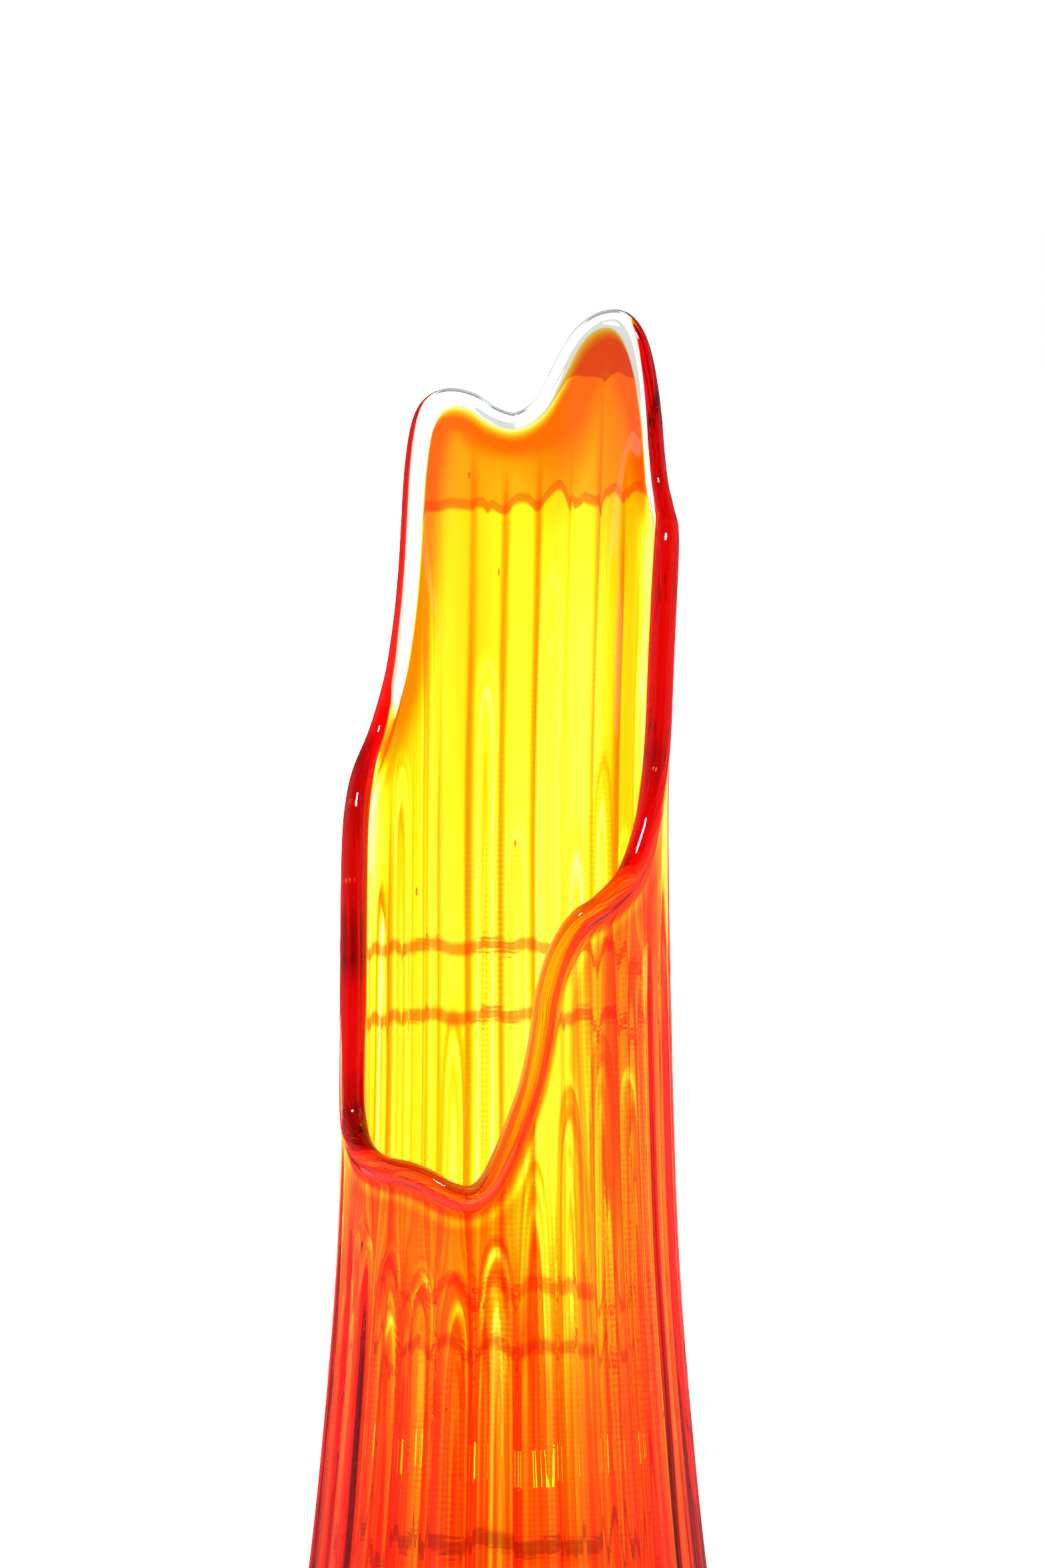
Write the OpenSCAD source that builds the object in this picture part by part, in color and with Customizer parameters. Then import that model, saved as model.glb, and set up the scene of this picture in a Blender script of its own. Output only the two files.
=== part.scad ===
// Tall stretched art glass vase: a coloured lining cased in ribbed glass,
// with a sheared, fire-polished rim that has a clear lip, on a heavy ground base.
// Millimetres, +Z up.  Origin: centre of the ground face that the vase rests on.
// The deep opening of the rim faces -Y.

/* [Vase] */
// Height from the resting face to the tip of the taller peak
vase_h = 602; // [540:2:660]
// Outer diameter of the straight upper body
body_d = 98.8; // [90:0.2:110]
// Thickness of the solid glass under the lining
base_h = 34; // [28:1:40]

/* [Wall] */
// Wall thickness of the upper body
wall_t = 5.8; // [5:0.1:7]
// Extra wall thickness where the body meets the base
wall_extra = 6; // [2:0.5:8]
// Coloured lining's share of the wall thickness
lining_share = 0.4; // [0.3:0.05:0.6]
// Thickness of the lining's floor
floor_t = 6; // [4:0.5:9]

/* [Ribs] */
// Number of optic ribs
rib_count = 28; // [20:1:28]
// Height of a rib above the groove beside it
rib_h = 0.9; // [0.2:0.1:1.2]

/* [Rim] */
// Width of the clear lip, measured along the wall from the rolled edge
lip_w = 6.5; // [5.5:0.1:8]
// How far the rolled edge swells past each face of the wall
lip_swell = 0.3; // [0.1:0.1:0.8]

/* [Foot] */
// Outer diameter of the flat ground ring
ground_d = 122; // [110:1:126]
// Inner diameter of the flat ground ring
ground_inner_d = 84; // [70:1:96]
// Height of the hollow inside the ground ring
punt_h = 5; // [2:0.5:8]

/* [Hidden] */

// Columns of points round the wall: four to a rib
columns = 4 * 28;
column_step = 360 / columns;
// Sizes that the outlines below are drawn at
drawn_h = 602;
drawn_d = 98.8;
scale_z = vase_h / drawn_h;
scale_r = body_d / drawn_d;
mm_per_degree = PI * body_d / 360;

// Outer outline of the body as [height, radius], foot to rim
OUTLINE = [[0, 64], [10, 69.5], [26, 75], [48, 78], [75, 77], [110, 72.4], [150, 66],
    [204, 58.4], [250, 54], [290, 51.3], [335, 49.9], [392, 49.4], [450, 49.6],
    [510, 50.8], [560, 52], [602, 52.5]];

// Sideways lean of the upper body as [height, offset]
LEAN = [[0, 0], [330, 0], [430, -0.3], [520, 1.2], [602, 2.6]];

// Centre line of the rolled edge as [angle from the front, height], once round:
// the two back peaks, the left flank, the front notch, the right step and flank
RIM = [[-171, 569], [-163, 573], [-154, 573.8], [-146, 570], [-141.5, 563], [-138.5, 548],
    [-137, 530], [-135.5, 511], [-133, 493], [-128.5, 475], [-119, 456], [-103, 438],
    [-92, 420], [-87, 396], [-84, 362], [-79.5, 338], [-70, 328], [-59.5, 322.3],
    [-49, 319], [-38, 317.3], [-29, 314.8], [-20, 311], [-12, 310], [-6, 313.5],
    [-1, 321], [4, 331], [9, 343], [12.5, 356], [15, 369], [20, 381], [27.5, 389.7],
    [36, 394.3], [50, 404], [60, 415.5], [68.5, 428.5], [78, 452], [81, 480],
    [84.5, 503], [91, 517], [100.5, 526], [107.5, 535], [112.5, 547], [116, 560],
    [120.5, 574], [127, 588], [135, 596.5], [144, 598.8], [152, 596.5], [158, 591],
    [165, 580], [171.5, 571], [180, 567]];

// Angle at which the first column stands low on the body
first_angle = -165;
// Heights of the level rows of points below the notch
ROWS = [base_h, 44, 58, 76, 96, 120, 148, 180, 215, 250];
// Number of rows between the last level row and the clear lip
rising_rows = 5;
last_level = ROWS[len(ROWS) - 1];
// Height at which the thick lower wall has thinned to the upper wall
thin_from = 280;
// Radius of the rolled edge, and how far below its centre line the colour ends
roll_r = wall_t / 2 + lip_swell;
colour_end = lip_w - roll_r;
// Share of the wall outside the lining
casing_share = 1 - lining_share;
// The cavity floor's rings as shares of the radius at its upper edge
FLOOR_RINGS = [0.95, 0.82, 0.6, 0.3];
floor_z = base_h + floor_t;
floor_rows_up = 2;

function smooth(t) = let (u = max(0, min(1, t))) u * u * (3 - 2 * u);

// Point on the curve from a to b that leaves a along ma and reaches b along mb
function hermite(a, b, ma, mb, t) = (2 * t ^ 3 - 3 * t ^ 2 + 1) * a + (t ^ 3 - 2 * t ^ 2 + t) * ma
    + (3 * t ^ 2 - 2 * t ^ 3) * b + (t ^ 3 - t ^ 2) * mb;

// Smooth value at x of a list of [x, value] points
function slope_at(points, i) = let (a = points[max(0, i - 1)], b = points[min(len(points) - 1, i + 1)])
    (b[1] - a[1]) / (b[0] - a[0]);
function segment_of(points, x, i = 0) =
    i >= len(points) - 2 || x < points[i + 1][0] ? i : segment_of(points, x, i + 1);
function along(points, x) = let (
        i = segment_of(points, x),
        a = points[i],
        b = points[i + 1],
        w = b[0] - a[0],
        t = max(0, min(1, (x - a[0]) / w)))
    hermite(a[1], b[1], slope_at(points, i) * w, slope_at(points, i + 1) * w, t);

// The rim's centre line unrolled to [distance round the body, height]
knots = [for (p = RIM) [p[0] * mm_per_degree, p[1] * scale_z]];
once_round = [360 * mm_per_degree, 0];
function knot(i) = let (n = len(knots), turn = floor(i / n)) knots[i - turn * n] + turn * once_round;
function knot_direction(i) = (knot(i + 1) - knot(i - 1))
    / (norm(knot(i + 1) - knot(i)) + norm(knot(i) - knot(i - 1)));
steps = 8;
rim_fine = [for (i = [0 : len(knots) - 1], k = [0 : steps - 1])
    let (a = knot(i), b = knot(i + 1), d = norm(b - a))
    hermite(a, b, knot_direction(i) * d, knot_direction(i + 1) * d, k / steps)];
function fine(i) = i < len(rim_fine) ? rim_fine[i] : rim_fine[0] + once_round;
rim_run = [for (i = 0, s = 0; i <= len(rim_fine); s = s + norm(fine(i + 1) - fine(i)), i = i + 1) s];
run_to_across = [for (i = [0 : len(rim_fine)]) [rim_run[i], fine(i)[0]]];
run_to_height = [for (i = [0 : len(rim_fine)]) [rim_run[i], fine(i)[1]]];
rim_length = rim_run[len(rim_fine)];

// The rim at evenly spaced columns, and the same line moved d into the wall
rim = [for (c = [0 : columns - 1]) let (s = rim_length * c / columns)
    [lookup(s, run_to_across), lookup(s, run_to_height)]];
function rim_at(c) = c < 0 ? rim[c + columns] - once_round
    : c >= columns ? rim[c - columns] + once_round : rim[c];
function inward(c, d) = let (t = rim_at(c + 1) - rim_at(c - 1), u = t / norm(t))
    rim_at(c) + d * [u[1], -u[0]];

// Outer radius, rib and wall thickness at a height
function radius_at(z) = along(OUTLINE, z / scale_z) * scale_r;
function rib_at(angle, z) = rib_h * (abs(cos(rib_count * angle / 2)) - 0.75) * smooth((z - base_h) / 60);
function wall_at(z) = wall_t + wall_extra * (1 - smooth((z - base_h) / (thin_from - base_h)));

// Point at a depth into the wall; the ribs fade out towards the inside
function wall_point(angle, z, depth) = let (
        inside = max(0, min(1, depth / wall_at(z))),
        r = radius_at(z) + rib_at(angle, z) * (1 - inside) - depth)
    [along(LEAN, z / scale_z) + r * sin(angle), -r * cos(angle), z];

// A ring of points at a share of the wall's depth: level, rising, or beside the rim
function level_ring(z, share) = [for (c = [0 : columns - 1])
    wall_point(first_angle + column_step * c, z, share * wall_at(z))];
function rising_ring(row, share) = [for (c = [0 : columns - 1]) let (
        t = row / rising_rows,
        top = inward(c, colour_end),
        low_angle = first_angle + column_step * c,
        angle = low_angle + (top[0] / mm_per_degree - low_angle) * t,
        z = last_level + (top[1] - last_level) * t)
    wall_point(angle, z, share * wall_at(z))];
function rim_ring(d, depth) = [for (c = [0 : columns - 1])
    let (p = inward(c, d)) wall_point(p[0] / mm_per_degree, p[1], depth)];
function roll_ring(turn) = rim_ring(-roll_r * sin(turn), wall_t / 2 - roll_r * cos(turn));

// Every ring of one layer of the wall, from the base up to the end of the colour
function layer(share, from_row = 0) = [
    for (i = [from_row : len(ROWS) - 1]) level_ring(ROWS[i], share),
    for (k = [1 : rising_rows]) rising_ring(k, share)];
function reversed(list) = [for (i = [len(list) - 1 : -1 : 0]) list[i]];
function flat(rings) = [for (ring = rings, p = ring) p];

// Two triangles between each pair of neighbouring points of rings a and b
function band(a, b) = [for (c = [0 : columns - 1]) let (n = (c + 1) % columns)
    each [[a * columns + c, b * columns + c, b * columns + n],
        [a * columns + c, b * columns + n, a * columns + n]]];

// A solid whose rings run round it and close on themselves
module ring_of_rings(rings) {
    count = len(rings);
    polyhedron(flat(rings), [for (i = [0 : count - 1]) each band(i, (i + 1) % count)]);
}

// A solid whose first and last rings are closed by fans to two centre points
module closed_rings(rings, first_centre, last_centre) {
    count = len(rings);
    first = count * columns;
    last = first + 1;
    fans = [for (c = [0 : columns - 1]) let (n = (c + 1) % columns)
        each [[first, c, n], [(count - 1) * columns + c, last, (count - 1) * columns + n]]];
    bands = [for (i = [0 : count - 2]) each band(i, i + 1)];
    polyhedron([each flat(rings), first_centre, last_centre], [each fans, each bands]);
}

// Heavy bottom of solid glass: rounded foot, flat ground ring, shallow punt
module base_gather() {
    edge_r = radius_at(base_h);
    ground_r = ground_d / 2;
    punt_r = ground_inner_d / 2;
    side = [for (i = [0 : 8]) let (z = base_h * i / 8)
        [ground_r + (edge_r - ground_r) * sin(90 * (z / base_h) ^ 0.55), z]];
    punt = [for (i = [0 : 6]) let (a = 90 * i / 6) [punt_r * sin(a), punt_h * cos(a)]];
    color([1, 0.62, 0.12, 0.75])
        rotate_extrude($fn = 96)
            polygon([each punt, each side, [0, base_h]]);
}

// Ribbed outer glass, from the base up to where the colour ends
module outer_casing() {
    color([1, 0.6, 0.1, 0.55])
        ring_of_rings([each layer(0), each reversed(layer(casing_share))]);
}

// Coloured glass inside the casing, with the rounded floor of the cavity
module colour_lining() {
    edge_row = floor_rows_up;
    edge_z = ROWS[edge_row];
    edge_r = radius_at(edge_z) - wall_at(edge_z);
    floor_rings = [for (u = FLOOR_RINGS) [for (c = [0 : columns - 1])
        let (angle = first_angle + column_step * c, z = floor_z + (edge_z - floor_z) * u ^ 5)
        [edge_r * u * sin(angle), -edge_r * u * cos(angle), z]]];
    color([1, 0.4, 0.02, 0.8])
        closed_rings([each layer(casing_share), each reversed(layer(1, edge_row)), each floor_rings],
            [0, 0, base_h], [0, 0, floor_z]);
}

// Clear lip: the casing drawn past the colour and rolled over in the fire
module clear_lip() {
    turns = [0 : 36 : 180];
    color([0.9, 0.95, 0.9, 0.5])
        ring_of_rings([
            rim_ring(colour_end, 0),
            for (turn = turns) roll_ring(turn),
            rim_ring(colour_end, wall_t),
            rim_ring(colour_end, casing_share * wall_t)]);
}

base_gather();
outer_casing();
colour_lining();
clear_lip();
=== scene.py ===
"""Tall stretched art glass vase: ribbed amber-orange glass with a clear rolled lip.

The glass is one continuous refracting body, as fused glass is.  The coloured
layer lies inside it as a second closed body that only absorbs light, so the
colour deepens wherever light travels further through the wall.
"""
import math

import bmesh
import bpy
import numpy as np
from mathutils import Matrix, Vector


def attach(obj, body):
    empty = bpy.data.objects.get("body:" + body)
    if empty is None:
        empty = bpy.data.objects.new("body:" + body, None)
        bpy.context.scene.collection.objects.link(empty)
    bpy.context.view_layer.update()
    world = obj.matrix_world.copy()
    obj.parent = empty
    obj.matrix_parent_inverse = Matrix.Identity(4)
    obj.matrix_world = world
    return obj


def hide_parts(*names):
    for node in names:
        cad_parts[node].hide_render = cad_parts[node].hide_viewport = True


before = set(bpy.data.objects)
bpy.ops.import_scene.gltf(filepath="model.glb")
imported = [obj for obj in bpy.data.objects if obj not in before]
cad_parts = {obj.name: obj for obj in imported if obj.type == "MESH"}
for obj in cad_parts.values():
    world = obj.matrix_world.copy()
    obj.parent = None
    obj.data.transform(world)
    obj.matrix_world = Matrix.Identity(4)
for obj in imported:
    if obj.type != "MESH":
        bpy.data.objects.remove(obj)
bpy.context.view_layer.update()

MM = 0.001

# ---------------------------------------------------------------- dimensions
# Millimetres and degrees, as in the CAD source.  Angles run from the front
# (-Y) towards +X.
BODY_D = 98.8
BASE_H = 34.0
WALL_T = 5.8
WALL_EXTRA = 6.0
THIN_FROM = 280.0
RIB_COUNT = 28
RIB_H = 0.9
LIP_W = 6.5
LIP_SWELL = 0.3
GROUND_R = 61.0
PUNT_R = 42.0
PUNT_H = 5.0
FLOOR_T = 6.0
LINING_T = 2.3
SKIN = 0.3
RIB_TURN = 3.5
MM_PER_DEGREE = math.pi * BODY_D / 360
ROLL_R = WALL_T / 2 + LIP_SWELL
COLOUR_END = LIP_W - ROLL_R
# Height at which the dished inner floor turns up into the wall
CORNER_Z = 58.0
# Eight numbers from 0 to 1 for each rib, which make its streaks its own
PER_RIB = np.random.default_rng(11).uniform(size=(RIB_COUNT, 8))

# Outer outline of the body as (height, radius), foot to rim
OUTLINE = [
    (0, 64), (10, 69.5), (26, 75), (48, 78), (75, 77), (110, 72.4), (150, 66), (204, 58.4),
    (250, 54), (290, 51.3), (335, 49.9), (392, 49.4), (450, 49.6), (510, 50.8), (560, 52),
    (602, 52.5),
]
# Sideways lean of the upper body as (height, offset)
LEAN = [(0, 0), (330, 0), (430, -0.3), (520, 1.2), (602, 2.6)]
# Centre line of the rolled edge as (angle, height), once round
RIM = [
    (-171, 569), (-163, 573), (-154, 573.8), (-146, 570), (-141.5, 563), (-138.5, 548),
    (-137, 530), (-135.5, 511), (-133, 493), (-128.5, 475), (-119, 456), (-103, 438),
    (-92, 420), (-87, 396), (-84, 362), (-79.5, 338), (-70, 328), (-59.5, 322.3),
    (-49, 319), (-38, 317.3), (-29, 314.8), (-20, 311), (-12, 310), (-6, 313.5),
    (-1, 321), (4, 331), (9, 343), (12.5, 356), (15, 369), (20, 381), (27.5, 389.7),
    (36, 394.3), (50, 404), (60, 415.5), (68.5, 428.5), (78, 452), (81, 480),
    (84.5, 503), (91, 517), (100.5, 526), (107.5, 535), (112.5, 547), (116, 560),
    (120.5, 574), (127, 588), (135, 596.5), (144, 598.8), (152, 596.5), (158, 591),
    (165, 580), (171.5, 571), (180, 567),
]

# How finely the two bodies are built: columns round the vase, then rows
GLASS_COLUMNS = 32 * RIB_COUNT
FIRST_ANGLE = -165.0
LAST_LEVEL = 250.0
LEVEL_STEP = 4.0
RISING_ROWS = 70
LINING_ROWS = 110
SPLINE_STEPS = 24
PUNT_STEPS = 12
GROUND_STEPS = 4
SIDE_STEPS = 22
LIP_STEPS = 8
ROLL_STEPS = 19
TIP_STEPS = 9
FLOOR_STEPS = 24
CENTRE_GAP = 0.05


# ------------------------------------------------------------- plain helpers
def smooth(t):
    """0 below 0, 1 above 1, and an even S between them."""
    u = np.clip(t, 0, 1)
    return u * u * (3 - 2 * u)


def hump(x, centre, width):
    """1 at the centre, falling away evenly over the width at both sides."""
    return np.exp(-((x - centre) / width) ** 2)


def waves(table, angle, z):
    """Sum of waves round the vase, as (height, count round, drift a mm upwards, start)."""
    a = np.radians(angle)
    return sum(high * np.sin(count * a + drift * z + start) for high, count, drift, start in table)


def hermite(a, b, ma, mb, t):
    """The curve from a to b with slopes ma and mb, at share t of the way."""
    return ((2 * t**3 - 3 * t**2 + 1) * a + (t**3 - 2 * t**2 + t) * ma
            + (3 * t**2 - 2 * t**3) * b + (t**3 - t**2) * mb)


def along(points, x):
    """Smooth value at x of a list of (x, value) points."""
    at, value = np.array(points, float).T
    slope = np.empty_like(value)
    slope[1:-1] = (value[2:] - value[:-2]) / (at[2:] - at[:-2])
    slope[0] = (value[1] - value[0]) / (at[1] - at[0])
    slope[-1] = (value[-1] - value[-2]) / (at[-1] - at[-2])
    x = np.clip(x, at[0], at[-1])
    i = np.clip(np.searchsorted(at, x, side="right") - 1, 0, len(at) - 2)
    w = at[i + 1] - at[i]
    return hermite(value[i], value[i + 1], slope[i] * w, slope[i + 1] * w, (x - at[i]) / w)


# ---------------------------------------------------------------------- rim
class Rim:
    """The rim's centre line at evenly spaced columns, unrolled to (across, height)."""

    turn = 360 * MM_PER_DEGREE
    # Rows above this height lie near the rim and measure to a finer line
    near_height = 300
    near_skip = 2
    far_skip = 16

    def __init__(self, columns):
        knots = np.array([(a * MM_PER_DEGREE, z) for a, z in RIM])
        once = np.array([self.turn, 0.0])
        after = np.vstack([knots[1:], knots[:1] + once])
        before = np.vstack([knots[-1:] - once, knots[:-1]])
        gap = np.linalg.norm(after - knots, axis=1)
        direction = (after - before) / (gap + np.roll(gap, 1))[:, None]
        steps = np.linspace(0, 1, SPLINE_STEPS, endpoint=False)[:, None]
        fine = [
            hermite(a, b, da * g, db * g, steps)
            for a, b, da, db, g in zip(knots, after, direction, np.roll(direction, -1, 0), gap)
        ]
        fine = np.vstack(fine + [knots[:1] + once])
        run = np.concatenate([[0], np.cumsum(np.linalg.norm(np.diff(fine, axis=0), axis=1))])
        at = np.linspace(0, run[-1], columns, endpoint=False)
        self.line = np.stack([np.interp(at, run, fine[:, 0]), np.interp(at, run, fine[:, 1])], 1)
        self.angle = self.line[:, 0] / MM_PER_DEGREE
        before = np.vstack([self.line[-1:] - once, self.line[:-1]])
        after = np.vstack([self.line[1:], self.line[:1] + once])
        tangent = after - before
        tangent /= np.linalg.norm(tangent, axis=1)[:, None]
        self.inwards = np.stack([tangent[:, 1], -tangent[:, 0]], 1)
        self.low_angle = FIRST_ANGLE + np.arange(columns) * 360 / columns

    def inward(self, d):
        """Angle and height of the line d mm (one or one a column) into the wall from the rim."""
        p = self.line + np.reshape(d, (-1, 1)) * self.inwards
        return p[:, 0] / MM_PER_DEGREE, p[:, 1]

    def distance(self, angle, z):
        """Millimetres along the wall from each point to the rim's centre line."""
        skip = self.near_skip if np.max(z) > self.near_height else self.far_skip
        line = self.line[::skip].astype(np.float32)
        across = np.subtract.outer(np.float32(angle * MM_PER_DEGREE), line[:, 0])
        across -= self.turn * np.round(across / self.turn)
        up = np.subtract.outer(np.float32(z), line[:, 1])
        point = np.arange(len(up))
        near = np.argmin(across * across + up * up, axis=1)
        a, b = across[point, near], up[point, near]
        best = a * a + b * b
        for step in (-1, 1):
            other = (near + step) % len(line)
            da, db = across[point, other] - a, up[point, other] - b
            t = np.clip(-(a * da + b * db) / (da * da + db * db), 0, 1)
            best = np.minimum(best, (a + t * da) ** 2 + (b + t * db) ** 2)
        return np.sqrt(best).astype(float)

    def level(self, z):
        """Angles and heights of a level row."""
        return self.low_angle, np.full_like(self.low_angle, z)

    def rising(self, t, d):
        """Share t of the way from the last level row to the line d mm inside the rim."""
        angle, z = self.inward(d)
        return self.low_angle + (angle - self.low_angle) * t, LAST_LEVEL + (z - LAST_LEVEL) * t


# ---------------------------------------------------------------- wall shape
# Ribs: height over which they grow out of the foot, and how round a lobe is
RIB_GROWTH = 60
LOBE_ROUNDING = 0.25
LOBE_MEAN = 0.83
# Waves of the inner face, and the outer ribs' weaker print on it, which drifts round
INNER_WAVES = [(0.16, 9, 0.008, 0), (0.1, 17, -0.011, 1.2)]
INNER_RIB = 0.4
INNER_RIB_TURN = 2.5
INNER_RIB_DRIFT = 0.008
# The wall is plain up to CALM_TO mm from the rim and takes CALM_FADE mm to its full ribs
CALM_TO = 2
CALM_FADE = 60


def rib_place(angle):
    """Angle counted in ribs: whole numbers lie on the middle of a rib."""
    return (angle + RIB_TURN) * RIB_COUNT / 360


def rib_at(angle, z):
    """Optic ribs: broad rounded lobes with narrow grooves, each a little unlike the next."""
    place = rib_place(angle)
    index = np.round(place)
    across = np.cos(np.pi * (place - index))
    # these numbers only make neighbours differ
    uneven = 0.8 + 0.35 * np.sin(index * 2.4 + 0.7) + 0.2 * np.cos(index * 5.1)
    lobe = (across * across + LOBE_ROUNDING) ** 0.5 - LOBE_MEAN
    return RIB_H * uneven * lobe * smooth((z - BASE_H) / RIB_GROWTH)


def wall_at(z):
    """Thickness of the wall, which is heavier towards the foot."""
    return WALL_T + WALL_EXTRA * (1 - smooth((z - BASE_H) / (THIN_FROM - BASE_H)))


def inner_wave(angle, z):
    """Shallow ribs and slow waves that the stretching leaves on the inner face."""
    rib = rib_at(angle + INNER_RIB_TURN + INNER_RIB_DRIFT * z, z)
    return waves(INNER_WAVES, angle, z) - INNER_RIB * rib


def wall_point(angle, z, depth, rim_d):
    """A point of the wall, depth mm under the outside, rim_d mm from the rim's centre."""
    calm = smooth((rim_d - CALM_TO) / CALM_FADE)
    inside = np.clip(depth / wall_at(z), 0, 1)
    r = along(OUTLINE, z) + calm * rib_at(angle, z) * (1 - inside) - depth
    r = r + calm * inner_wave(angle, z) * inside
    a = np.radians(angle)
    return np.stack([along(LEAN, z) + r * np.sin(a), -r * np.cos(a), z + 0 * a], -1)


# ----------------------------------------------------------- coloured layer
# Where the front notch gives way to the tall back wall, and over how many degrees
NOTCH_LEFT = 147
NOTCH_LEFT_FADE = 40
NOTCH_RIGHT = 112
NOTCH_RIGHT_FADE = 30
# The colour's end behind, and how much nearer to the rim it comes in front
END_BEHIND = COLOUR_END + 0.8
END_FORWARD = 4.3
# How far the lip stands out behind, and how much more in front
SWELL_BEHIND = 0.1
SWELL_FORWARD = 1.1

# Streaks: mm from the rim to the highest arch, and how far down the others start
ARCH_TOP = 14
ARCH_SPREAD = 40
ARCH_SPREAD_BEHIND = 150
ARCH_SOFTNESS = 8
ARCH_LIMITS = (-20, 3)
# Bands across a streak as (height, fewest across, more at random, the rib's number)
STREAK_MEAN = 1.3
STREAK_BANDS = [(0.7, 0.5, 0.5, 0), (0.65, 1.4, 1, 2), (0.5, 3, 2, 4)]
STREAK_WEAKEST = 0.45
STREAK_STRONGER = 1.1
# A streak's half width, as a share of half a rib, and its soft edge
STREAK_HALF = 0.75
STREAK_EDGE = 0.35

# Dark lines in the grooves: (least, more at a dark groove) of thickness and half width
LINE_T = (0.7, 2.8)
LINE_HALF = (0.05, 0.06)
LINES_FROM = 10
LINES_FADE = 30
# Slow waves of the layer
LINING_WAVES = [(0.3, 5, 0.006, 1), (0.25, 11, -0.009, 0)]
# Broad zones as (thickness, angle, spread): front left, the yellow one right of the
# notch's lowest point and the red one under the tall peak, with their reach from the rim
ZONE_LEFT = (0.8, -38, 20)
ZONE_YELLOW = (-3.0, 18, 13)
YELLOW_REACH = 75
ZONE_PEAK = (3.4, 151, 17)
PEAK_REACH = 26
# The back wall's colour thins this much, from 30 mm below the rim
BACK_THINNING = 0.35
BACK_FROM = 30
BACK_FADE = 40
# Colour gathers at the layer's end, in a long and a short heap
GATHER_FROM = 2.5
GATHER_LONG = 14
GATHER_SHORT = 5
GATHER_SHORT_T = 3
# Painted light: the colour layer thins in a line along the foot of the front lip, which paints the
# bright caustic that the roll casts there, as (thickness, from the rim, spread)
PAINTED_CAUSTIC = (-2.8, 6.5, 1.8)
# Strength of the streaks behind, in front, and just below the front lip
STREAKS_BEHIND = 0.75
STREAKS_FRONT = 0.1
STREAKS_LIP = 2.2
STREAKS_REACH = 65
# Share of the foot's extra wall that is coloured
FOOT_SHARE = 0.55
# The rising edges at both sides lose most of their colour near the rim
FLANK_FROM = 62
FLANK_FROM_FADE = 15
FLANK_TO = 126
FLANK_TO_FADE = 18
FLANK_LOSS = 0.88
FLANK_REACH = 42
# Taper of the layer's end, and the least thickness
TAPER_FROM = 0.3
TAPER = 1.2
THINNEST = 0.3


def in_front(angle):
    """1 round the front notch, 0 on the tall back wall, which reaches further round at right."""
    left = (NOTCH_LEFT + angle) / NOTCH_LEFT_FADE
    right = (NOTCH_RIGHT - angle) / NOTCH_RIGHT_FADE
    return smooth(np.where(angle < 0, left, right))


def lining_end(angle):
    """Where the colour ends, in mm from the rim: short of the lip behind, inside it in front."""
    return END_BEHIND - END_FORWARD * in_front(angle)


def lip_swell(angle):
    """How far the rolled lip stands out of the wall's faces: a fuller roll round the notch."""
    return SWELL_BEHIND + SWELL_FORWARD * in_front(angle)


def streaks(angle, z):
    """Extra thickness in long streaks, which close in nested arches below the rim."""
    place = rib_place(angle)
    index = np.round(place).astype(int) % RIB_COUNT
    off = 2 * (place - np.round(place))
    n = PER_RIB[index]
    centre = (index * 360 / RIB_COUNT - RIB_TURN + 180) % 360 - 180
    spread = ARCH_SPREAD + ARCH_SPREAD_BEHIND * (1 - in_front(centre))
    top = along(RIM, centre) - ARCH_TOP - spread * n[:, 6]
    arch = np.exp(np.clip((z - top) / (ARCH_SOFTNESS + ARCH_SOFTNESS * n[:, 7]), *ARCH_LIMITS))
    q = np.sqrt(off * off + arch)
    wave = STREAK_MEAN * (n[:, 7] - 0.5)
    for high, fewest, more, pick in STREAK_BANDS:
        count, start = fewest + more * n[:, pick], n[:, pick + 1]
        wave = wave + high * np.cos(math.tau * count * q + math.tau * start)
    strength = STREAK_WEAKEST + STREAK_STRONGER * n[:, 5]
    return wave * strength * (1 - smooth((q - STREAK_HALF) / STREAK_EDGE))


def groove_lines(angle):
    """Dark lines in the grooves between the ribs, some strong and some weak."""
    place = rib_place(angle)
    off = np.abs(place - np.floor(place) - 0.5)
    # from 0 to 1, with no order that shows from groove to groove
    dark = 0.5 + 0.5 * np.sin(np.floor(place) * 1.9 + 1)
    return (LINE_T[0] + LINE_T[1] * dark) * hump(off, 0, LINE_HALF[0] + LINE_HALF[1] * dark)


def zone(place, angle):
    """Extra thickness of a broad zone."""
    thickness, centre, spread = place
    return thickness * hump(angle, centre, spread)


def slow_changes(angle, z, rim_d, front):
    """Broad changes of the layer's thickness."""
    slow = waves(LINING_WAVES, angle, z) + zone(ZONE_LEFT, angle)
    slow = slow + zone(ZONE_YELLOW, angle) * np.exp(-rim_d / YELLOW_REACH)
    slow = slow + zone(ZONE_PEAK, angle) * hump(rim_d, 0, PEAK_REACH)
    return slow - BACK_THINNING * (1 - front) * smooth((rim_d - BACK_FROM) / BACK_FADE)


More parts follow.
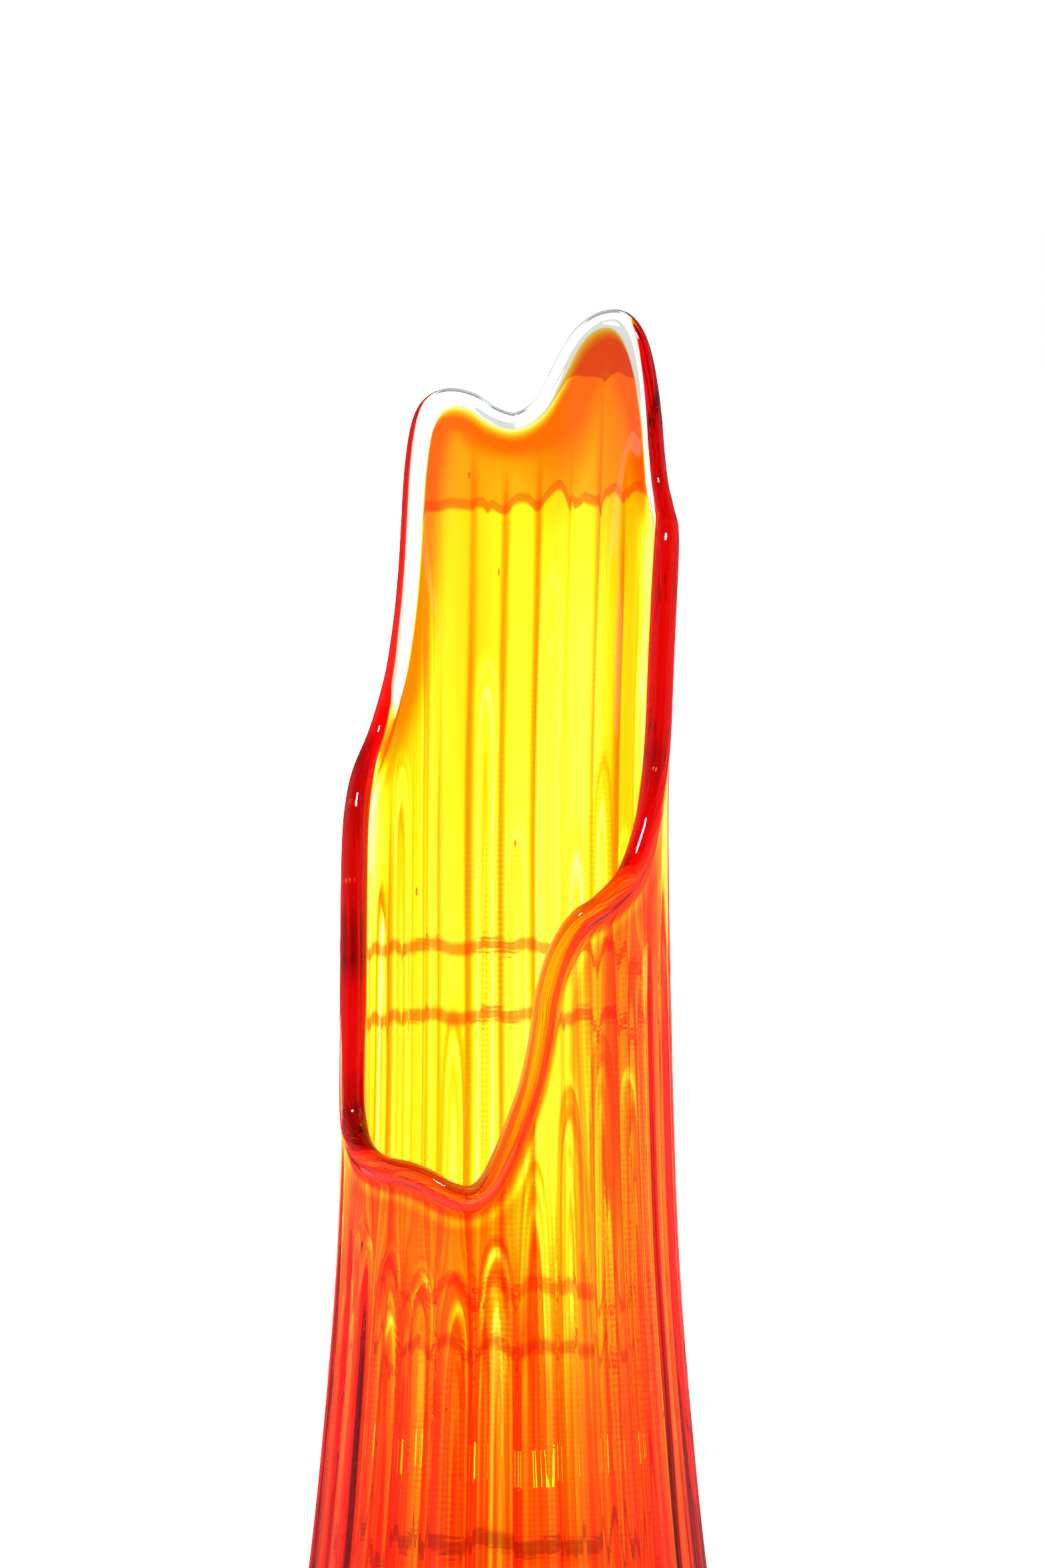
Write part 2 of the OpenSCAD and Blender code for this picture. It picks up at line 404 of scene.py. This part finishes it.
def lining_thickness(angle, z, rim_d):
    """Thickness of the coloured layer in mm."""
    front = in_front(angle)
    from_end = rim_d - lining_end(angle)
    deep = np.clip(from_end - GATHER_FROM, 0, None)
    gather = np.exp(-deep / GATHER_LONG) + GATHER_SHORT_T * hump(deep, 0, GATHER_SHORT)
    # painted light: the colour thins in a line under the front lip, standing in for the caustic that
    # the roll casts
    painted_caustic = PAINTED_CAUSTIC[0] * front * hump(rim_d, PAINTED_CAUSTIC[1], PAINTED_CAUSTIC[2])
    lines = groove_lines(angle) * smooth((rim_d - LINES_FROM) / LINES_FADE)
    strength = STREAKS_FRONT + STREAKS_LIP * np.exp(-rim_d / STREAKS_REACH)
    strength = STREAKS_BEHIND + front * strength
    full = LINING_T + slow_changes(angle, z, rim_d, front) + lines + strength * streaks(angle, z)
    full = full + gather + painted_caustic + FOOT_SHARE * (wall_at(z) - WALL_T)
    side = np.abs(angle)
    flank = smooth((side - FLANK_FROM) / FLANK_FROM_FADE) * smooth((FLANK_TO - side) / FLANK_TO_FADE)
    full = full * (1 - FLANK_LOSS * flank * hump(rim_d, 0, FLANK_REACH))
    taper = smooth((from_end + TAPER_FROM) / TAPER)
    return np.clip(full * taper, THINNEST, wall_at(z) - 2 * SKIN)


# ------------------------------------ depth of each face under the outside
def outer_face(angle, z, rim_d):
    return 0 * z


def inner_face(angle, z, rim_d):
    return wall_at(z)


def lining_outer_face(angle, z, rim_d):
    return wall_at(z) - SKIN - lining_thickness(angle, z, rim_d)


def lining_inner_face(angle, z, rim_d):
    return wall_at(z) - SKIN


# ------------------------------------------------------------ mesh building
# The punt's first ring in radians from its middle, and how the foot's side rounds
PUNT_START = 0.08
SIDE_ROUNDING = 0.55
SIDE_SPACING = 1.6
# How steeply the dished inner floor turns up at its corner
FLOOR_POWER = 5
# Longest rounded end of the coloured layer, and how far its foot stays above the
# foot's height, at the outline and in the middle
TIP_LENGTH = 1.6
LINING_LIFT = 2
LINING_CAP_LIFT = 1
# Seeds: how many, depth under the outside, lowest place, distance kept below the rim,
# half width, and how many times as tall as wide
SEEDS = 22
SEED_DEPTH = 1.1
SEED_LOWEST = 120
SEED_MARGIN = 25
SEED_HALF = (0.22, 0.42)
SEED_STRETCH = (2, 7)
# Painted values rise from (start) over (width) in mm: past the colour's end, below the rim
COVER_FADE = (-1, 3)
RIPPLED_FADE = (35, 30)


def ring_mesh(name, rings, cap_first, cap_last):
    """A closed mesh from rings of equal length, with fans to the two cap points."""
    rings = np.array(rings)
    count, columns, _ = rings.shape
    points = np.vstack([rings.reshape(-1, 3), [cap_first, cap_last]])
    column = np.arange(columns)
    after = (column + 1) % columns
    faces = []
    for row in range(count - 1):
        low, high = row * columns, (row + 1) * columns
        faces += np.stack([low + column, low + after, high + after, high + column], 1).tolist()
    last = (count - 1) * columns
    centre = np.full(columns, count * columns)
    faces += np.stack([after, column, centre], 1).tolist()
    faces += np.stack([last + column, last + after, centre + 1], 1).tolist()
    mesh = bpy.data.meshes.new(name)
    mesh.from_pydata((points * MM).tolist(), [], faces)
    mesh.validate()
    mesh.shade_smooth()
    obj = bpy.data.objects.new(name, mesh)
    bpy.context.collection.objects.link(obj)
    return obj


def level_ring(rim, r, z):
    """A plain round ring."""
    a = np.radians(rim.low_angle)
    return np.stack([r * np.sin(a), -r * np.cos(a), np.full_like(a, z)], -1)


def foot_rings(rim):
    """The punt's hollow, the ground ring that the vase stands on and the foot's side."""
    punt = [(PUNT_R * math.sin(t), PUNT_H * math.cos(t))
            for t in np.linspace(PUNT_START, math.pi / 2, PUNT_STEPS)]
    ground = [(r, 0.0) for r in np.linspace(PUNT_R, GROUND_R, GROUND_STEPS)[1:]]
    bulge = float(along(OUTLINE, BASE_H)) - GROUND_R
    side = [(GROUND_R + bulge * math.sin(math.pi / 2 * t**SIDE_ROUNDING), BASE_H * t)
            for t in np.linspace(0, 1, SIDE_STEPS)[1:-1] ** SIDE_SPACING]
    return [level_ring(rim, r, z) for r, z in punt + ground + side]


def wall_rings(rim, low, d, face, rising_rows=RISING_ROWS):
    """Rings of one face of the wall, from height low up to d mm inside the rim."""
    levels = np.linspace(low, LAST_LEVEL, max(2, round((LAST_LEVEL - low) / LEVEL_STEP)))
    places = [rim.level(z) for z in levels]
    places += [rim.rising(t, d) for t in np.linspace(0, 1, rising_rows + 1)[1:]]
    rings = []
    for angle, z in places:
        rim_d = rim.distance(angle, z)
        rings.append(wall_point(angle, z, face(angle, z, rim_d), rim_d))
    return rings


def lip_rings(rim):
    """The rolled lip: out of the outer face, round the roll and back to the inner face."""
    swell = lip_swell(rim.angle)
    roll_r = WALL_T / 2 + swell
    rings = []
    for d in np.linspace(COLOUR_END, 0, LIP_STEPS)[1:-1]:
        angle, z = rim.inward(d)
        rings.append(wall_point(angle, z, -swell * smooth(1 - d / COLOUR_END), d))
    for turn in np.linspace(0, math.pi, ROLL_STEPS):
        angle, z = rim.inward(-roll_r * math.sin(turn))
        rings.append(wall_point(angle, z, WALL_T / 2 - roll_r * math.cos(turn), 0))
    for d in np.linspace(0, COLOUR_END, LIP_STEPS)[1:-1]:
        angle, z = rim.inward(d)
        rings.append(wall_point(angle, z, WALL_T + swell * smooth(1 - d / COLOUR_END), d))
    return rings


def floor_rings(rim, under):
    """Rings of the dished inner floor, or of a surface that lies under mm below it."""
    edge = float(along(OUTLINE, CORNER_Z) - wall_at(CORNER_Z)) + under
    low = BASE_H + FLOOR_T - under
    return [level_ring(rim, edge * u, low + (CORNER_Z - low) * u**FLOOR_POWER)
            for u in np.linspace(1, CENTRE_GAP, FLOOR_STEPS)[1:]]


def tip_rings(rim, end):
    """The rounded edge in which the coloured layer ends."""
    angle, z = rim.inward(end)
    half = lining_thickness(angle, z, rim.distance(angle, z)) / 2
    rings = []
    for turn in np.linspace(0, math.pi, TIP_STEPS)[1:-1]:
        angle, z = rim.inward(end - np.minimum(half, TIP_LENGTH) * math.sin(turn))
        depth = wall_at(z) - SKIN - half - half * math.cos(turn)
        rings.append(wall_point(angle, z, depth, 0))
    return rings


def add_seeds(glass):
    """Tiny drawn-out air bubbles in the clear outer glass, as voids of the same mesh."""
    pick = np.random.default_rng(5)
    bubble = bmesh.new()
    bubble.from_mesh(glass.data)
    for _ in range(SEEDS):
        angle = pick.uniform(-180, 180)
        highest = float(along(RIM, angle)) - SEED_MARGIN
        z = pick.uniform(SEED_LOWEST, highest)
        centre = wall_point(np.array([angle]), np.array([z]), SEED_DEPTH, CALM_FADE)[0] * MM
        wide = pick.uniform(*SEED_HALF) * MM
        size = Matrix.Diagonal((wide, wide, wide * pick.uniform(*SEED_STRETCH), 1))
        place = Matrix.Translation(centre) @ size
        made = bmesh.ops.create_icosphere(bubble, subdivisions=2, radius=1, matrix=place)
        faces = {f for v in made["verts"] for f in v.link_faces}
        bmesh.ops.reverse_faces(bubble, faces=list(faces))
    bubble.to_mesh(glass.data)
    bubble.free()
    glass.data.shade_smooth()


def paint(obj, name, start, fade):
    """Store a value that rises from 0 to 1 over the fade, which the material reads."""
    values = smooth((start - fade[0]) / fade[1])
    obj.data.attributes.new(name, "FLOAT", "POINT").data.foreach_set("value", values)


def make_glass():
    """The fused glass: foot, ribbed outside, rolled lip and inside, as one closed body."""
    rim = Rim(GLASS_COLUMNS)
    rings = foot_rings(rim)
    rings += wall_rings(rim, BASE_H, COLOUR_END, outer_face)
    rings += lip_rings(rim)
    rings += wall_rings(rim, CORNER_Z, COLOUR_END, inner_face)[::-1]
    rings += floor_rings(rim, 0)
    glass = ring_mesh("vase_glass", rings, (0, 0, PUNT_H), (0, 0, BASE_H + FLOOR_T))
    add_seeds(glass)
    points = np.array([v.co for v in glass.data.vertices]) / MM
    angle = np.degrees(np.arctan2(points[:, 0], -points[:, 1]))
    rim_d = rim.distance(angle, points[:, 2])
    paint(glass, "cover", rim_d - lining_end(angle), COVER_FADE)
    paint(glass, "rippled", rim_d, RIPPLED_FADE)
    return glass


def make_lining():
    """The coloured layer inside the wall, which ends in a rounded edge at the lip."""
    rim = Rim(GLASS_COLUMNS)
    end = lining_end(rim.angle)
    rings = wall_rings(rim, BASE_H + LINING_LIFT, end, lining_outer_face, LINING_ROWS)
    rings += tip_rings(rim, end)
    rings += wall_rings(rim, CORNER_Z, end, lining_inner_face, LINING_ROWS)[::-1]
    rings += floor_rings(rim, SKIN)
    low, high = BASE_H + LINING_CAP_LIFT, BASE_H + FLOOR_T - SKIN
    return ring_mesh("colour_lining_glass", rings, (0, 0, low), (0, 0, high))


# --------------------------------------------------------------- node helper
class Tree:
    """A node tree with short ways to add nodes and join them: each returns outputs."""

    def __init__(self, owner):
        owner.use_nodes = True
        self.nodes = owner.node_tree.nodes
        self.links = owner.node_tree.links

    def fill(self, node, inputs):
        """Give each input a value or another node's output, and return the node's outputs."""
        for name, value in inputs.items():
            if isinstance(value, bpy.types.NodeSocket):
                self.links.new(value, node.inputs[name])
            else:
                node.inputs[name].default_value = value
        return node.outputs

    def add(self, kind, inputs):
        return self.fill(self.nodes.new(kind), inputs)

    def attribute(self, name):
        node = self.nodes.new("ShaderNodeAttribute")
        node.attribute_name = name
        return node.outputs["Fac"]

    def mix_colours(self, share, first, second):
        node = self.nodes.new("ShaderNodeMix")
        node.data_type = "RGBA"
        return self.fill(node, {"Factor": share, "A": first, "B": second})["Result"]

    def maths(self, kind, *values):
        node = self.nodes.new("ShaderNodeMath")
        node.operation = kind
        return self.fill(node, dict(enumerate(values)))[0]

    def fade(self, source, edge, before, after):
        """The value before as far as the edge starts and after beyond its end."""
        node = self.nodes.new("ShaderNodeMapRange")
        node.interpolation_type = "SMOOTHSTEP"
        return self.fill(node, {"Value": source, "From Min": edge[0], "From Max": edge[1],
                                "To Min": before, "To Max": after})["Result"]

    def away(self, source, place):
        """How far the source is from a place, on either side."""
        return self.maths("ABSOLUTE", self.maths("SUBTRACT", source, place))

    def blend(self, share, first, second):
        """The first value where share is 1, the second where it is 0."""
        rest = self.maths("MULTIPLY", self.maths("SUBTRACT", 1.0, share), second)
        return self.maths("ADD", self.maths("MULTIPLY", share, first), rest)


# ---------------------------------------------------------------- materials
# Fine chatter ripples across the ribs, in patches drawn out along them: a bump, and painted shade, a
# darker orange colour along the ripple bands
RIPPLES = {"Scale": 170, "Distortion": 5, "Detail": 2, "Detail Scale": 1.2}
RIPPLE_DEPTH = 0.0000012
RIPPLE_SHADE_COLOUR = (0.93, 0.52, 0.15, 1)
PATCHES = {"Scale": 90, "Detail": 2}
PATCH_STRETCH = (1, 1, 0.12)
PATCH_EDGE = {"From Min": 0.5, "From Max": 0.68}
GLASS_IOR = 1.5
LIP_TINT = (0.9, 0.97, 0.93, 1)
BODY_TINT = (1, 0.87, 0.5, 1)
# What the coloured layer lets through, and how strongly it absorbs the rest
LINING_COLOUR = (0.9987, 0.834, 0.28, 1)
LINING_DENSITY = 2600
FLOOR_COLOUR = (0.82, 0.82, 0.82, 1)
FLOOR_ROUGHNESS = 0.6


def new_material(name):
    material = bpy.data.materials.new(name)
    tree = Tree(material)
    return material, tree, tree.nodes["Principled BSDF"]


def clear_glass():
    """Smooth clear glass: tinted over the colour, nearly plain at the lip, finely rippled, with
    painted shade along the ripples.
    """
    material, tree, shader = new_material("cased_glass")
    tint = tree.mix_colours(tree.attribute("cover"), LIP_TINT, BODY_TINT)
    place = tree.add("ShaderNodeTexCoord", {})["Object"]
    wave = tree.nodes.new("ShaderNodeTexWave")
    wave.bands_direction = "Z"
    ripple = tree.fill(wave, {"Vector": place, **RIPPLES})["Fac"]
    drawn = tree.add("ShaderNodeMapping", {"Vector": place, "Scale": PATCH_STRETCH})["Vector"]
    patches = tree.add("ShaderNodeTexNoise", {"Vector": drawn, **PATCHES})["Fac"]
    where = tree.add("ShaderNodeMapRange", {"Value": patches, **PATCH_EDGE})["Result"]
    strength = tree.maths("MULTIPLY", where, tree.attribute("rippled"))
    # painted shade: the ripple bands darken the glass's colour towards a deeper orange
    ripple_painted_shade = tree.maths("MULTIPLY", strength, ripple)
    bump = tree.add("ShaderNodeBump", {"Distance": RIPPLE_DEPTH, "Strength": strength,
                                       "Height": ripple})
    tree.links.new(tree.mix_colours(ripple_painted_shade, tint, RIPPLE_SHADE_COLOUR), shader.inputs["Base Color"])
    tree.links.new(bump["Normal"], shader.inputs["Normal"])
    shader.inputs["Roughness"].default_value = 0
    shader.inputs["IOR"].default_value = GLASS_IOR
    shader.inputs["Transmission Weight"].default_value = 1
    return material


def coloured_glass():
    """Glass that only absorbs: it lies in the clear glass and must not bend light again."""
    material, tree, shader = new_material("orange_lining")
    shader.inputs["Base Color"].default_value = (1, 1, 1, 1)
    shader.inputs["Roughness"].default_value = 0
    shader.inputs["IOR"].default_value = 1.0
    shader.inputs["Transmission Weight"].default_value = 1
    absorb = tree.nodes.new("ShaderNodeVolumeAbsorption")
    absorb.inputs["Color"].default_value = LINING_COLOUR
    absorb.inputs["Density"].default_value = LINING_DENSITY
    output = tree.nodes["Material Output"]
    tree.links.new(absorb.outputs["Volume"], output.inputs["Volume"])
    return material


glass = make_glass()
glass.data.materials.append(clear_glass())
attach(glass, "root")
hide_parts("outer_casing", "clear_lip", "base_gather")

lining = make_lining()
lining.data.materials.append(coloured_glass())
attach(lining, "root")
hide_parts("colour_lining")


# ------------------------------------------------------- floor, light, camera
FLOOR_RADIUS = 1.4
# Light of the panel behind, of the flags beside it and of the room at the sides
PANEL_LIGHT = 4.0
FLAG_LIGHT = 1.2
SIDE_LIGHT = 1.3
# Light of the dim band above the panel, and of what lies over it and left of it
UPPER_LIGHT = 0.8
ABOVE_LIGHT = 1.3
# Light of the ceiling, of the ground and of the room in front
CEILING_LIGHT = 0.45
GROUND_LIGHT = 0.4
FRONT_LIGHT = 1.0
# More than any light: a limit that doesn't limit
BRIGHTEST = 200.0
# How bright the room in front, at the sides and behind looks in the glass's reflections
FRONT_MIRROR = 0.05
SIDE_MIRROR = 0.24
BACK_MIRROR = 0.08

# Directions.  Behind the vase a height or a sideways place is given over the
# distance behind, and no distance counts as less than NEAREST.  Across and
# behind are sines.  An edge is where a fade starts and where it ends.
NEAREST = 0.05
PANEL_HALF = math.sin(math.radians(20))
PANEL_SIDE_EDGE = (PANEL_HALF - 0.02, PANEL_HALF + 0.03)
FLAG_HALF = math.sin(math.radians(48))
FLAG_EDGE = (FLAG_HALF - 0.06, FLAG_HALF + 0.1)
BEHIND_EDGE = (0.0, 0.15)
SIDE_MIRROR_EDGE = (0.45, 0.8)
BACK_MIRROR_EDGE = (0.2, 0.6)
# The panel's top rises to the right by its tilt; a thin dark line runs along it
PANEL_TOP = 0.266
PANEL_TOP_EDGE = (PANEL_TOP, PANEL_TOP + 0.003)
PANEL_TILT = 0.02
PANEL_ABOVE = 0.5
TOP_LINE_EDGE = (0.001, 0.0028)
TOP_LINE_LEFT = 0.3
# The panel is dimmer below the level line
PANEL_LOW = -0.01
PANEL_LOW_EDGE = (PANEL_LOW - 0.05, PANEL_LOW + 0.05)
PANEL_BELOW = 0.4
# The dim band, right of the middle: its bottom, its top and its left end
UPPER = 0.298
UPPER_EDGE = (UPPER, UPPER + 0.012)
UPPER_END = 0.37
UPPER_END_EDGE = (UPPER_END, UPPER_END + 0.01)
UPPER_LEFT = 0.008
UPPER_LEFT_EDGE = (UPPER_LEFT, UPPER_LEFT - 0.02)
CEILING = 0.6
CEILING_EDGE = (CEILING, CEILING + 0.2)
GROUND = -0.118
GROUND_EDGE = (GROUND, GROUND - 0.05)
# Bars across the panel as (height, half width, light left), darkest in the core
BARS = [(0.115, 0.0035, 0.3), (0.092, 0.0035, 0.3), (0.004, 0.004, 0.4),
        (-0.022, 0.005, 0.4), (-0.107, 0.006, 0.42)]
BAR_CORE = 0.3
# Small bright lamps low on the panel, as (sideways place, half width)
LAMPS = [(-0.006, 0.004), (0.02, 0.005)]
LAMP_HEIGHT = -0.075
LAMP_HALF = 0.008
LAMP_CORE = 0.8
LAMP_LIGHT = 30.0

# Camera and front lamp, in metres, millimetres of lens, degrees and watts
CAMERA_PLACE = (0.0044, -0.92, 0.282)
CAMERA_TILT = 9.6
CAMERA_LENS = 70
CAMERA_SENSOR = 36
FRONT_LAMP_PLACE = (-0.15, -0.5, 1.6)
FRONT_LAMP_AIM = (0, 0, 0.35)
FRONT_LAMP_SIZE = 0.12
FRONT_LAMP_WATTS = 45
# Light is led on inside the thick wall, so it needs many bounces
BOUNCES = 128


def make_floor():
    bpy.ops.mesh.primitive_circle_add(vertices=128, radius=FLOOR_RADIUS, fill_type="NGON")
    floor = bpy.context.object
    floor.name = "floor"
    material, _, shader = new_material("pale_floor")
    shader.inputs["Base Color"].default_value = FLOOR_COLOUR
    shader.inputs["Roughness"].default_value = FLOOR_ROUGHNESS
    floor.data.materials.append(material)


def panel_light(tree, height, sideways):
    """The bright panel behind: its edges, the dark line and bars across it, and its lamps."""
    top = tree.maths("ADD", height, tree.maths("MULTIPLY", sideways, -PANEL_TILT))
    panel = tree.maths("MULTIPLY", tree.fade(top, PANEL_TOP_EDGE, 1, PANEL_ABOVE),
                       tree.fade(height, PANEL_LOW_EDGE, PANEL_BELOW, 1))
    line = tree.fade(tree.away(top, PANEL_TOP), TOP_LINE_EDGE, TOP_LINE_LEFT, 1)
    panel = tree.maths("MULTIPLY", panel, line)
    for at, half, left in BARS:
        bar = tree.fade(tree.away(height, at), (half * BAR_CORE, half), left, 1)
        panel = tree.maths("MULTIPLY", panel, bar)
    level = tree.fade(tree.away(height, LAMP_HEIGHT), (LAMP_HALF * LAMP_CORE, LAMP_HALF), 1, 0)
    for at, half in LAMPS:
        lamp = tree.fade(tree.away(sideways, at), (half * LAMP_CORE, half), LAMP_LIGHT, 0)
        panel = tree.maths("ADD", panel, tree.maths("MULTIPLY", lamp, level))
    return tree.maths("MULTIPLY", panel, PANEL_LIGHT)


def limit_light(tree, light, height, sideways):
    """The panel's light, held down in the dim band, at the ceiling and at the ground."""
    limit = tree.fade(height, UPPER_EDGE, BRIGHTEST, UPPER_LIGHT)
    limit = tree.maths("MAXIMUM", limit, tree.fade(height, UPPER_END_EDGE, 0, ABOVE_LIGHT))
    limit = tree.maths("MAXIMUM", limit, tree.fade(sideways, UPPER_LEFT_EDGE, 0, ABOVE_LIGHT))
    light = tree.maths("MINIMUM", light, limit)
    for edge, least in ((CEILING_EDGE, CEILING_LIGHT), (GROUND_EDGE, GROUND_LIGHT)):
        light = tree.maths("MINIMUM", light, tree.fade(height, edge, BRIGHTEST, least))
    return light


def mirror_gain(tree, path, across, behind):
    """1, but less for light that reaches the eye by a reflection and no refraction."""
    plain = tree.maths("SUBTRACT", path["Is Glossy Ray"], path["Is Transmission Ray"])
    gain = tree.maths("MAXIMUM", tree.fade(across, SIDE_MIRROR_EDGE, FRONT_MIRROR, SIDE_MIRROR),
                      tree.fade(behind, BACK_MIRROR_EDGE, 0, BACK_MIRROR))
    return tree.blend(tree.maths("GREATER_THAN", plain, 0.5), gain, 1.0)


def make_world():
    """White studio light: a tall bright panel behind the vase, dimmer all round."""
    world = bpy.data.worlds.new("studio")
    bpy.context.scene.world = world
    tree = Tree(world)
    background = tree.nodes["Background"]
    background.inputs["Color"].default_value = (1, 1, 1, 1)
    direction = tree.add("ShaderNodeTexCoord", {})["Generated"]
    split = tree.add("ShaderNodeSeparateXYZ", {"Vector": direction})
    ahead = tree.maths("MAXIMUM", split["Y"], NEAREST)
    height = tree.maths("DIVIDE", split["Z"], ahead)
    sideways = tree.maths("DIVIDE", split["X"], ahead)
    across = tree.maths("ABSOLUTE", split["X"])
    panel = limit_light(tree, panel_light(tree, height, sideways), height, sideways)
    flags = tree.fade(across, FLAG_EDGE, FLAG_LIGHT, SIDE_LIGHT)
    backdrop = tree.blend(tree.fade(across, PANEL_SIDE_EDGE, 1, 0), panel, flags)
    strength = tree.blend(tree.fade(split["Y"], BEHIND_EDGE, 0, 1), backdrop, FRONT_LIGHT)
    path = tree.add("ShaderNodeLightPath", {})
    strength = tree.maths("MULTIPLY", strength, mirror_gain(tree, path, across, split["Y"]))
    strength = tree.maths("MAXIMUM", strength, path["Is Camera Ray"])
    tree.links.new(strength, background.inputs["Strength"])


def make_camera():
    data = bpy.data.cameras.new("camera")
    data.lens = CAMERA_LENS
    data.sensor_fit = "AUTO"
    data.sensor_width = CAMERA_SENSOR
    camera = bpy.data.objects.new("camera", data)
    camera.location = CAMERA_PLACE
    camera.rotation_euler = (math.radians(90 + CAMERA_TILT), 0, 0)
    bpy.context.collection.objects.link(camera)
    bpy.context.scene.camera = camera


def make_front_lamp():
    """A small round lamp high in front, which makes the sparkles on the lip."""
    data = bpy.data.lights.new("front_lamp", "AREA")
    data.shape = "DISK"
    data.size = FRONT_LAMP_SIZE
    data.energy = FRONT_LAMP_WATTS
    lamp = bpy.data.objects.new("front_lamp", data)
    lamp.visible_diffuse = False
    lamp.location = FRONT_LAMP_PLACE
    aim = Vector(FRONT_LAMP_AIM) - Vector(FRONT_LAMP_PLACE)
    lamp.rotation_euler = aim.to_track_quat("-Z", "Y").to_euler()
    bpy.context.collection.objects.link(lamp)


make_floor()
make_world()
make_camera()
make_front_lamp()

scene = bpy.context.scene
scene.view_settings.view_transform = "Standard"
scene.cycles.max_bounces = BOUNCES
scene.cycles.transmission_bounces = BOUNCES
scene.cycles.glossy_bounces = BOUNCES
